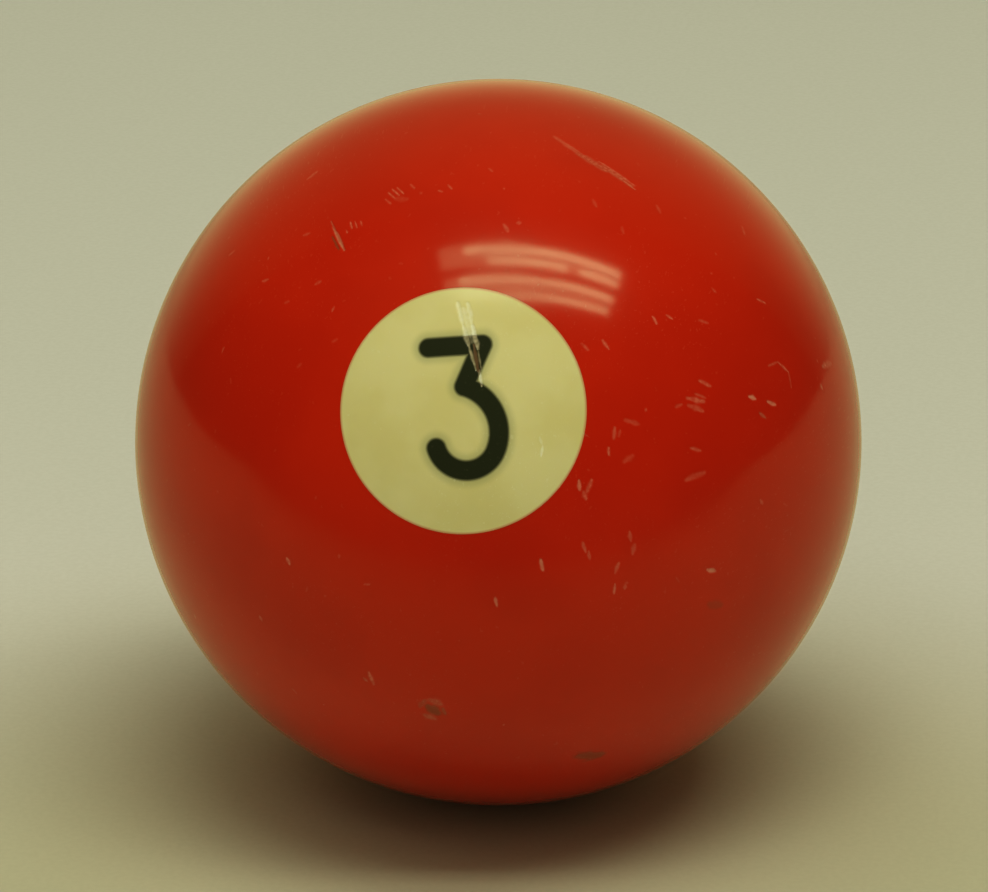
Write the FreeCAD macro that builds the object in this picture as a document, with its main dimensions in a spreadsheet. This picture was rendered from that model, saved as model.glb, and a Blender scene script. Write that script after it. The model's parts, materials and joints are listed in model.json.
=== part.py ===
"""Numbered pool ball, as a parametric FreeCAD document. Millimetres.

A cast ball has a blind round pocket at each end of one diameter.  A number spot
is bonded into each pocket, and a numeral is inlaid in the face of each spot, so
the ball comes apart into five solids.

Every piece is drawn about the number axis: the centre of the ball is the
origin, +Z runs out through the middle of the front number and +Y is the top of
the numeral.  Its Placement then leans that axis to where the ball lies at rest,
with the front number facing -Y and up, and the rear number opposite.
"""
import FreeCAD, Part
import math
import os

import Sketcher
from FreeCAD import Vector

OUTPUT_FOLDER = "parts"

SIZES = [
    # name, value, what it is
    ("ball_diameter", 57.15, "outside of the ball"),
    ("spot_diameter", 18.5, "outside of a number spot"),
    ("spot_depth", 6.35, "from the ball's surface to the flat back of a spot"),
    ("spot_corner", 1.0, "round between a spot's side and its back"),
    ("bond_line", 0.01, "gap all round an insert, for the resin that bonds it"),
    ("numeral_depth", 3.0, "from the ball's surface to the flat back of a numeral"),
    ("stroke_width", 1.45, "width of the numeral's stroke"),
    ("bar_left", 2.25, "spot centre to the left end of the top bar"),
    ("bar_right", 1.8, "spot centre to the right end of the top bar"),
    ("bar_height", 4.75, "spot centre up to the top bar"),
    ("elbow_right", 0.3, "spot centre to the foot of the slanting stroke"),
    ("elbow_height", 1.65, "spot centre up to the foot of the slanting stroke"),
    ("bowl_right", 0.25, "spot centre to the centre of the bowl"),
    ("bowl_drop", 2.25, "spot centre down to the centre of the bowl"),
    ("bowl_radius", 2.35, "bowl, at the middle of its stroke"),
    ("join_drop", 1.0, "bowl centre down to where the shoulder runs into it"),
    ("tail_drop", 0.55, "bowl centre down to the end of the tail"),
    ("number_tilt", 25.0, "degrees that the front number looks up from level"),
    ("number_roll", 5.7, "degrees that the numeral leans to the left"),
    ("cut_overrun", 1.0, "how far a cut runs out past the ball's surface"),
]

# A sketch's upright axis and its origin, by the numbers that the sketcher gives them.
SKETCH_Y_AXIS = -2
ORIGIN = (-1, 1)
START, END, CENTRE = 1, 2, 3


def make_sizes(doc):
    """Put the driving sizes in a spreadsheet, each under its own name."""
    sheet = doc.addObject("Spreadsheet::Sheet", "Sizes")
    for row, (name, value, meaning) in enumerate(SIZES, start=1):
        sheet.set(f"A{row}", meaning)
        sheet.set(f"B{row}", str(value))
        sheet.setAlias(f"B{row}", name)
    doc.recompute()
    return sheet


def origin_plane(body, role):
    """Return one of a body's own origin planes."""
    return next(item for item in body.Origin.OriginFeatures if item.Role == role)


def constrain(sketch, kind, *items, size=None):
    """Add a constraint, bound to an expression of the sheet if it has a size."""
    if size is None:
        sketch.addConstraint(Sketcher.Constraint(kind, *items))
        return
    start_value = sketch.evalExpression(size)
    index = sketch.addConstraint(Sketcher.Constraint(kind, *items, float(start_value)))
    sketch.setExpression(f"Constraints[{index}]", size)


def sketch_on_plane(body, name, role="XZ_Plane"):
    """Start a sketch on one of a body's origin planes."""
    sketch = body.newObject("Sketcher::SketchObject", name)
    sketch.AttachmentSupport = (origin_plane(body, role), [""])
    sketch.MapMode = "FlatFace"
    body.Document.recompute()
    return sketch


def add_line(sketch, start, end):
    return sketch.addGeometry(Part.LineSegment(Vector(*start), Vector(*end)), False)


def add_arc(sketch, centre, radius, first_degrees, last_degrees):
    """Add an arc that runs anticlockwise between two directions."""
    circle = Part.Circle(Vector(*centre), Vector(0, 0, 1), radius)
    arc = Part.ArcOfCircle(circle, math.radians(first_degrees), math.radians(last_degrees))
    return sketch.addGeometry(arc, False)


def ball_profile(body, sheet):
    """Half of a disc, closed along the number axis."""
    sketch = sketch_on_plane(body, "half_disc")
    radius = sheet.ball_diameter / 2
    rim = add_arc(sketch, (0, 0), radius, -90, 90)
    axis = add_line(sketch, (0, radius), (0, -radius))
    constrain(sketch, "Coincident", rim, END, axis, START)
    constrain(sketch, "Coincident", axis, END, rim, START)
    constrain(sketch, "Coincident", rim, CENTRE, *ORIGIN)
    constrain(sketch, "PointOnObject", axis, START, SKETCH_Y_AXIS)
    constrain(sketch, "PointOnObject", axis, END, SKETCH_Y_AXIS)
    constrain(sketch, "Radius", rim, size="Sizes.ball_diameter / 2")
    return sketch


def insert_profile(body, sheet, name, allowance, domed):
    """Half of a round insert: flat back, rounded corner, straight side, then its face.

    The face follows the ball where the profile is domed, and otherwise is flat
    and stands past the ball.  The allowance is added all round, so the pocket
    and the spot that fills it share one drawing.
    """
    ball_radius = sheet.ball_diameter / 2
    margin = sketch_margin(sheet, allowance)
    side = sheet.spot_diameter / 2 + margin
    corner = sheet.spot_corner + margin
    back = ball_radius - sheet.spot_depth - margin
    if domed:
        edge = math.sqrt(ball_radius ** 2 - side ** 2)
        middle = ball_radius
    else:
        edge = ball_radius + sheet.cut_overrun
        middle = edge

    sketch = sketch_on_plane(body, name)
    floor = add_line(sketch, (0, back), (side - corner, back))
    bend = add_arc(sketch, (side - corner, back + corner), corner, -90, 0)
    wall = add_line(sketch, (side, back + corner), (side, edge))
    if domed:
        face = add_arc(sketch, (0, 0), ball_radius, math.degrees(math.atan2(edge, side)), 90)
    else:
        face = add_line(sketch, (side, edge), (0, middle))
    axis = add_line(sketch, (0, middle), (0, back))

    constrain(sketch, "Tangent", floor, END, bend, START)
    constrain(sketch, "Tangent", bend, END, wall, START)
    constrain(sketch, "Coincident", wall, END, face, START)
    constrain(sketch, "Coincident", face, END, axis, START)
    constrain(sketch, "Coincident", axis, END, floor, START)
    constrain(sketch, "Horizontal", floor)
    constrain(sketch, "Vertical", wall)
    constrain(sketch, "PointOnObject", axis, START, SKETCH_Y_AXIS)
    constrain(sketch, "PointOnObject", axis, END, SKETCH_Y_AXIS)
    constrain(sketch, "Radius", bend, size=f"Sizes.spot_corner + {allowance}")
    constrain(sketch, "DistanceX", *ORIGIN, wall, END, size=f"Sizes.spot_diameter / 2 + {allowance}")
    constrain(
        sketch, "DistanceY", *ORIGIN, floor, START,
        size=f"Sizes.ball_diameter / 2 - Sizes.spot_depth - ({allowance})",
    )
    if domed:
        constrain(sketch, "Coincident", face, CENTRE, *ORIGIN)
        constrain(sketch, "Radius", face, size="Sizes.ball_diameter / 2")
    else:
        constrain(sketch, "Horizontal", face)
        constrain(
            sketch, "DistanceY", *ORIGIN, face, END,
            size="Sizes.ball_diameter / 2 + Sizes.cut_overrun",
        )
    return sketch


def sketch_margin(sheet, allowance):
    """The value of an allowance, which is either nothing or the bond line."""
    return sheet.bond_line if allowance == "Sizes.bond_line" else 0.0


def spin_about_number_axis(body, kind, name, profile):
    """Turn a profile a full turn about the number axis, to add or to cut."""
    feature = body.newObject(kind, name)
    feature.Profile = profile
    feature.ReferenceAxis = (profile, ["V_Axis"])
    feature.Angle = 360
    body.Tip = feature
    body.Document.recompute()
    return feature


def make_ball(doc, sheet):
    """The cast ball, with the front pocket cut and then mirrored to the rear."""
    body = doc.addObject("PartDesign::Body", "BallBody")
    solid_ball = spin_about_number_axis(
        body, "PartDesign::Revolution", "solid_ball", ball_profile(body, sheet)
    )
    pocket_outline = insert_profile(body, sheet, "pocket_outline", "Sizes.bond_line", domed=False)
    front_pocket = spin_about_number_axis(
        body, "PartDesign::Groove", "front_pocket", pocket_outline
    )
    rear_pocket = body.newObject("PartDesign::Mirrored", "rear_pocket")
    rear_pocket.Originals = [front_pocket]
    rear_pocket.MirrorPlane = (origin_plane(body, "XY_Plane"), [""])
    body.Tip = rear_pocket
    doc.recompute()

    first_cut = solid_ball.Shape.Volume - front_pocket.Shape.Volume
    second_cut = front_pocket.Shape.Volume - rear_pocket.Shape.Volume
    if first_cut <= 0 or abs(first_cut - second_cut) > 1e-3 * first_cut:
        raise RuntimeError("the two number pockets are not cut alike")
    return body


def make_blank_spot(doc, sheet):
    """A number spot before its numeral is let in."""
    body = doc.addObject("PartDesign::Body", "BlankSpot")
    spin_about_number_axis(
        body, "PartDesign::Revolution", "turned_spot",
        insert_profile(body, sheet, "spot_outline", "0", domed=True),
    )
    return body


def make_numeral_line(doc, sheet):
    """The middle line of the numeral's stroke, drawn at the depth of its flat back.

    A level top bar turns back down a slanting stroke to an elbow.  From there a
    wide shoulder arc runs smoothly into the bowl, which ends in a short tail.
    """
    left, right, top = -sheet.bar_left, sheet.bar_right, sheet.bar_height
    elbow = Vector(sheet.elbow_right, sheet.elbow_height)
    bowl = Vector(sheet.bowl_right, -sheet.bowl_drop)
    join_angle = -math.degrees(math.asin(sheet.join_drop / sheet.bowl_radius))
    tail_angle = -180 + math.degrees(math.asin(sheet.tail_drop / sheet.bowl_radius))

    # The shoulder's centre lies on the line from the join through the bowl's centre,
    # as far back as brings the shoulder through the elbow.
    towards_join = Vector(math.cos(math.radians(join_angle)), math.sin(math.radians(join_angle)))
    to_elbow = elbow - bowl
    setback = (to_elbow.dot(to_elbow) - sheet.bowl_radius ** 2) / (
        2 * (sheet.bowl_radius - to_elbow.dot(towards_join))
    )
    shoulder = bowl - towards_join * setback
    shoulder_radius = sheet.bowl_radius + setback
    from_shoulder = elbow - shoulder
    elbow_angle = math.degrees(math.atan2(from_shoulder.y, from_shoulder.x))

    sketch = doc.addObject("Sketcher::SketchObject", "NumeralLine")
    bar = add_line(sketch, (left, top), (right, top))
    slant = add_line(sketch, (right, top), (elbow.x, elbow.y))
    shoulder_arc = add_arc(sketch, shoulder, shoulder_radius, join_angle, elbow_angle)
    bowl_arc = add_arc(sketch, bowl, sheet.bowl_radius, tail_angle, join_angle)

    constrain(sketch, "Horizontal", bar)
    constrain(sketch, "Coincident", bar, END, slant, START)
    constrain(sketch, "Coincident", slant, END, shoulder_arc, END)
    constrain(sketch, "Tangent", shoulder_arc, START, bowl_arc, END)
    constrain(sketch, "DistanceX", bar, START, *ORIGIN, size="Sizes.bar_left")
    constrain(sketch, "DistanceX", *ORIGIN, bar, END, size="Sizes.bar_right")
    constrain(sketch, "DistanceY", *ORIGIN, bar, END, size="Sizes.bar_height")
    constrain(sketch, "DistanceX", *ORIGIN, slant, END, size="Sizes.elbow_right")
    constrain(sketch, "DistanceY", *ORIGIN, slant, END, size="Sizes.elbow_height")
    constrain(sketch, "DistanceX", *ORIGIN, bowl_arc, CENTRE, size="Sizes.bowl_right")
    constrain(sketch, "DistanceY", bowl_arc, CENTRE, *ORIGIN, size="Sizes.bowl_drop")
    constrain(sketch, "Radius", bowl_arc, size="Sizes.bowl_radius")
    constrain(sketch, "DistanceY", bowl_arc, END, bowl_arc, CENTRE, size="Sizes.join_drop")
    constrain(sketch, "DistanceY", bowl_arc, START, bowl_arc, CENTRE, size="Sizes.tail_drop")
    sketch.setExpression(
        "Placement",
        "create(<<placement>>;"
        " create(<<vector>>; 0; 0; Sizes.ball_diameter / 2 - Sizes.numeral_depth);"
        " create(<<rotation>>; create(<<vector>>; 0; 0; 1); Sizes.number_roll))",
    )
    doc.recompute()
    return sketch


def make_stroke(doc, line, name, half_width, below):
    """A straight-sided solid of the numeral, with round stroke ends.

    It starts the given distance below the numeral's back and runs out past the
    ball's surface.
    """
    outline = doc.addObject("Part::Offset2D", f"{name}Outline")
    outline.Source = line
    outline.Mode = "Pipe"
    outline.Join = "Arc"
    outline.setExpression("Value", half_width)

    stroke = doc.addObject("Part::Extrusion", name)
    stroke.Base = outline
    stroke.DirMode = "Custom"
    stroke.Dir = Vector(0, 0, 1)
    stroke.Solid = True
    stroke.setExpression("LengthFwd", "Sizes.numeral_depth + Sizes.cut_overrun")
    stroke.setExpression("LengthRev", below)
    doc.recompute()
    return stroke


def make_ball_envelope(doc):
    """The outer surface that every piece is finished to."""
    envelope = doc.addObject("Part::Sphere", "BallEnvelope")
    envelope.setExpression("Radius", "Sizes.ball_diameter / 2")
    return envelope


def turned(x, y, z, degrees):
    """An expression for a turn about an axis through the ball's centre."""
    return (
        "create(<<placement>>; create(<<vector>>; 0; 0; 0);"
        f" create(<<rotation>>; create(<<vector>>; {x}; {y}; {z}); {degrees}))"
    )


FRONT_PLACE = turned(1, 0, 0, "90 - Sizes.number_tilt")
REAR_PLACE = FRONT_PLACE + " * " + turned(0, 1, 0, "180")


def make_side(doc, side, place, blank_spot, slot, stroke, envelope):
    """The spot and the numeral on one side of the ball."""
    spot = doc.addObject("Part::Cut", f"Spot{side.title()}")
    spot.Base = blank_spot
    spot.Tool = slot
    numeral = doc.addObject("Part::Common", f"Numeral{side.title()}")
    numeral.Base = stroke
    numeral.Tool = envelope
    for piece, label in ((spot, f"number_spot_{side}"), (numeral, f"numeral_{side}")):
        piece.Label = label
        piece.setExpression("Placement", place)
    return [spot, numeral]


def check_document(doc, pieces):
    """Refuse a document with a failed object, or a piece that is not one sound solid."""
    for item in doc.Objects:
        if "Invalid" in item.State or "Error" in item.State:
            raise RuntimeError(f"{item.Label} failed: {item.State}")
    for piece in pieces:
        shape = piece.Shape
        if shape.isNull() or not shape.isValid() or len(shape.Solids) != 1:
            raise RuntimeError(f"{piece.Label} is not one valid solid")


def main():
    doc = FreeCAD.newDocument("numbered_pool_ball")
    sheet = make_sizes(doc)

    ball = make_ball(doc, sheet)
    ball.Label = "ball_body"
    ball.setExpression("Placement", FRONT_PLACE)

    blank_spot = make_blank_spot(doc, sheet)
    line = make_numeral_line(doc, sheet)
    stroke = make_stroke(doc, line, "Stroke", "Sizes.stroke_width / 2", "0")
    slot = make_stroke(
        doc, line, "Slot", "Sizes.stroke_width / 2 + Sizes.bond_line", "Sizes.bond_line"
    )
    envelope = make_ball_envelope(doc)
    pieces = [ball]
    pieces += make_side(doc, "front", FRONT_PLACE, blank_spot, slot, stroke, envelope)
    pieces += make_side(doc, "rear", REAR_PLACE, blank_spot, slot, stroke, envelope)
    doc.recompute()
    check_document(doc, pieces)

    os.makedirs(OUTPUT_FOLDER, exist_ok=True)
    for piece in pieces:
        piece.Shape.exportStep(os.path.join(OUTPUT_FOLDER, piece.Label + ".step"))
        print(f"{piece.Label}: {piece.Shape.Volume:.1f} mm3")


main()
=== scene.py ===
"""A worn, numbered pool ball with its inlaid number spots, and the small studio that it lies in.

Every piece is shaped about the number axis, with the front number looking up +Z and the top of its
numeral towards +Y, and is then leaned over to where the ball lies at rest.
"""

import json
import math
import random

import bpy
from bpy.props import FloatProperty, FloatVectorProperty, PointerProperty
from mathutils import Matrix, Vector, noise
from mathutils.kdtree import KDTree


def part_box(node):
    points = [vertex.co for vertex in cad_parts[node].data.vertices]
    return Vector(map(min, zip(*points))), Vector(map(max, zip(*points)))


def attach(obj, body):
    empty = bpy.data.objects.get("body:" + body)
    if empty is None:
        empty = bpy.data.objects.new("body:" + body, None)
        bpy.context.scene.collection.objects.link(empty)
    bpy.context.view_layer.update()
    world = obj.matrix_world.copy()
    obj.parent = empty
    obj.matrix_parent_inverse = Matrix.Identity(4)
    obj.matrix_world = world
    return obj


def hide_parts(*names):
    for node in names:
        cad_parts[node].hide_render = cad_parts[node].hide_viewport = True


bl_info = {
    "name": "Numbered Pool Ball",
    "version": (1, 0, 0),
    "blender": (4, 5, 0),
    "location": "3D View > Sidebar > Pool Ball",
    "description": "Builds a worn, numbered pool ball and the studio that it lies in",
    "category": "Add Mesh",
}

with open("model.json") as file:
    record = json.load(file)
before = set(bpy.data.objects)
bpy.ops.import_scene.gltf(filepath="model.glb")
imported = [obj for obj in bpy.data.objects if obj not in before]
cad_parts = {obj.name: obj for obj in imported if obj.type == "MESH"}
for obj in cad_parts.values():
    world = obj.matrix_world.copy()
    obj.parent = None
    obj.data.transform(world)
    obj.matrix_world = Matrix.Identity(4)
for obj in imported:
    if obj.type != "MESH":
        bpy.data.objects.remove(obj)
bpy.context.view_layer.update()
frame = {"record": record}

MM = 0.001
TINY = 1e-7
FULL_TURN = 2 * math.pi
QUARTER_TURN = math.radians(90)
SHARP = math.radians(35)  # an edge that bends more than this stays crisp

BALL_POINTS = 256  # round the ball's whole outline
SPOT_POINTS = 1200  # the same, where the outline is a number spot's
LATHE_STEPS = 256
CORNER_SEGMENTS = 6
STROKE_STEPS = 48
BODY = "root"


def width_of(node):
    """How wide a designed piece is from side to side."""
    low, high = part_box(node)
    return high.x - low.x


BALL_RADIUS = frame["record"]["mounts"][0]["dims"]["r_mm"] * MM
SPOT_RADIUS = round(width_of("number_spot_front") / 2, 5)


# ----------------------------------------
# Sizes, colours and studio settings
# ----------------------------------------


def length(name, description, millimetres):
    return FloatProperty(
        name=name, description=description, default=millimetres * MM, unit="LENGTH", precision=5
    )


def angle(name, description, degrees):
    return FloatProperty(
        name=name, description=description, default=math.radians(degrees), subtype="ANGLE"
    )


def amount(name, description, value, unit="NONE"):
    return FloatProperty(name=name, description=description, default=value, unit=unit)


def colour(name, description, value):
    return FloatVectorProperty(
        name=name, description=description, default=value, size=3, min=0, max=1, subtype="COLOR"
    )


class BallSizes(bpy.types.PropertyGroup):
    """The ball, its pockets and its spots."""

    radius: length("Ball radius", "Outside of the ball", BALL_RADIUS / MM)
    spot_radius: length("Spot radius", "Outside of a number spot", SPOT_RADIUS / MM)
    spot_depth: length("Spot depth", "From the ball's surface to a spot's flat back", 6.35)
    spot_corner: length("Spot corner", "Round between a spot's side and its back", 1.0)
    bond_line: length("Bond line", "Resin film all round an insert", 0.01)
    number_tilt: angle("Number tilt", "How far the front number looks up from level", 25)
    number_roll: angle("Number roll", "How far the numeral leans to the left", 5.7)


class NumeralSizes(bpy.types.PropertyGroup):
    """The middle line of the numeral's stroke, from the middle of its spot."""

    depth: length("Depth", "From the ball's surface to the numeral's flat back", 3.0)
    stroke_width: length("Stroke width", "Width of the stroke", 1.45)
    bar_left: length("Bar left", "Middle to the left end of the top bar", 2.25)
    bar_right: length("Bar right", "Middle to the right end of the top bar", 1.8)
    bar_height: length("Bar height", "Middle up to the top bar", 4.75)
    elbow_right: length("Elbow right", "Middle to the foot of the slanting stroke", 0.3)
    elbow_height: length("Elbow height", "Middle up to the foot of the slanting stroke", 1.65)
    bowl_right: length("Bowl right", "Middle to the centre of the bowl", 0.25)
    bowl_drop: length("Bowl drop", "Middle down to the centre of the bowl", 2.25)
    bowl_radius: length("Bowl radius", "Radius at the middle of the bowl's stroke", 2.35)
    join_drop: length("Join drop", "Bowl centre down to where the shoulder joins it", 1.0)
    tail_drop: length("Tail drop", "Bowl centre down to the end of the tail", 0.55)


class ResinColours(bpy.types.PropertyGroup):
    """The three resins, and what wear does to them."""

    red: colour("Red", "Body of the ball", (0.68, 0.041, 0.013))
    deep_red: colour("Deep red", "Darker drifts in the red", (0.63, 0.035, 0.011))
    cream: colour("Cream", "Number spots", (0.82, 0.77, 0.48))
    aged_cream: colour("Aged cream", "Yellower drifts in the cream", (0.78, 0.72, 0.41))
    black: colour("Black", "Numerals", (0.046, 0.053, 0.033))
    dye: colour("Dye", "Where the numeral's dye bleeds into the cream", (0.30, 0.33, 0.18))
    red_scuff: colour("Red scuff", "Dry, crazed resin in a scratch on the red", (0.80, 0.34, 0.26))
    cream_scuff: colour("Cream scuff", "Dry resin in a scratch on the cream", (0.93, 0.92, 0.80))
    black_scuff: colour("Black scuff", "Dry resin in a scratch on the numeral", (0.50, 0.44, 0.32))
    grime: colour("Grime", "Dull dirt pressed into a bruise", (0.20, 0.10, 0.05))


class StudioSettings(bpy.types.PropertyGroup):
    """Camera, lights and floor."""

    azimuth: angle("Camera azimuth", "How far round to the ball's left hand the camera stands", 6.17)
    elevation: angle("Camera elevation", "How far above level the camera stands", 20.17)
    distance: amount("Camera distance", "Ball centre to lens", 0.5, "LENGTH")
    lens: FloatProperty(
        name="Lens", description="Focal length", default=231.2, subtype="DISTANCE_CAMERA"
    )
    aim_left: length("Aim left", "How far left of the ball's centre the camera aims", 0.34)
    aim_down: length("Aim down", "How far under the ball's centre the camera aims", 0.31)
    light_height: amount("Light height", "Ball centre up to the tubes", 1.4, "LENGTH")
    tube_power: amount("Tube power", "Power of one full light tube", 1.2, "POWER")
    reflector_power: amount("Reflector power", "Power of a lamp's reflector", 1.65, "POWER")
    soft_power: amount("Soft light power", "Power of the soft light overhead", 3.3, "POWER")
    fill_power: amount("Fill power", "Power of the low shadowless front fill", 1.75, "POWER")
    backdrop: amount("Backdrop", "Brightness of the pale wall behind the ball", 0.46)
    room: amount("Room", "Brightness of the dim room before the ball", 0.045)
    floor: colour("Floor", "Pale paper that the ball lies on", (0.765, 0.775, 0.88))
    # painted shadow: the paper's colour under and before the ball, darker than the open floor to
    # stand in for the ball's shadow
    floor_painted_shadow: colour("Floor near", "The paper under and before the ball", (0.60, 0.61, 0.55))
    # painted shade: a darker, yellower copy of the floor colour, for the paper as the ball mirrors
    # it
    mirrored_painted_shade: colour("Mirrored paper", "The paper as the ball mirrors it", (0.75, 0.70, 0.56))
    light_tint: colour("Light tint", "Warm, slightly green light", (1.0, 0.98, 0.67))
    wall_tint: colour("Wall tint", "The pale wall as the ball mirrors it", (1.0, 0.98, 0.50))


# ----------------------------------------
# Wear
# ----------------------------------------

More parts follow.
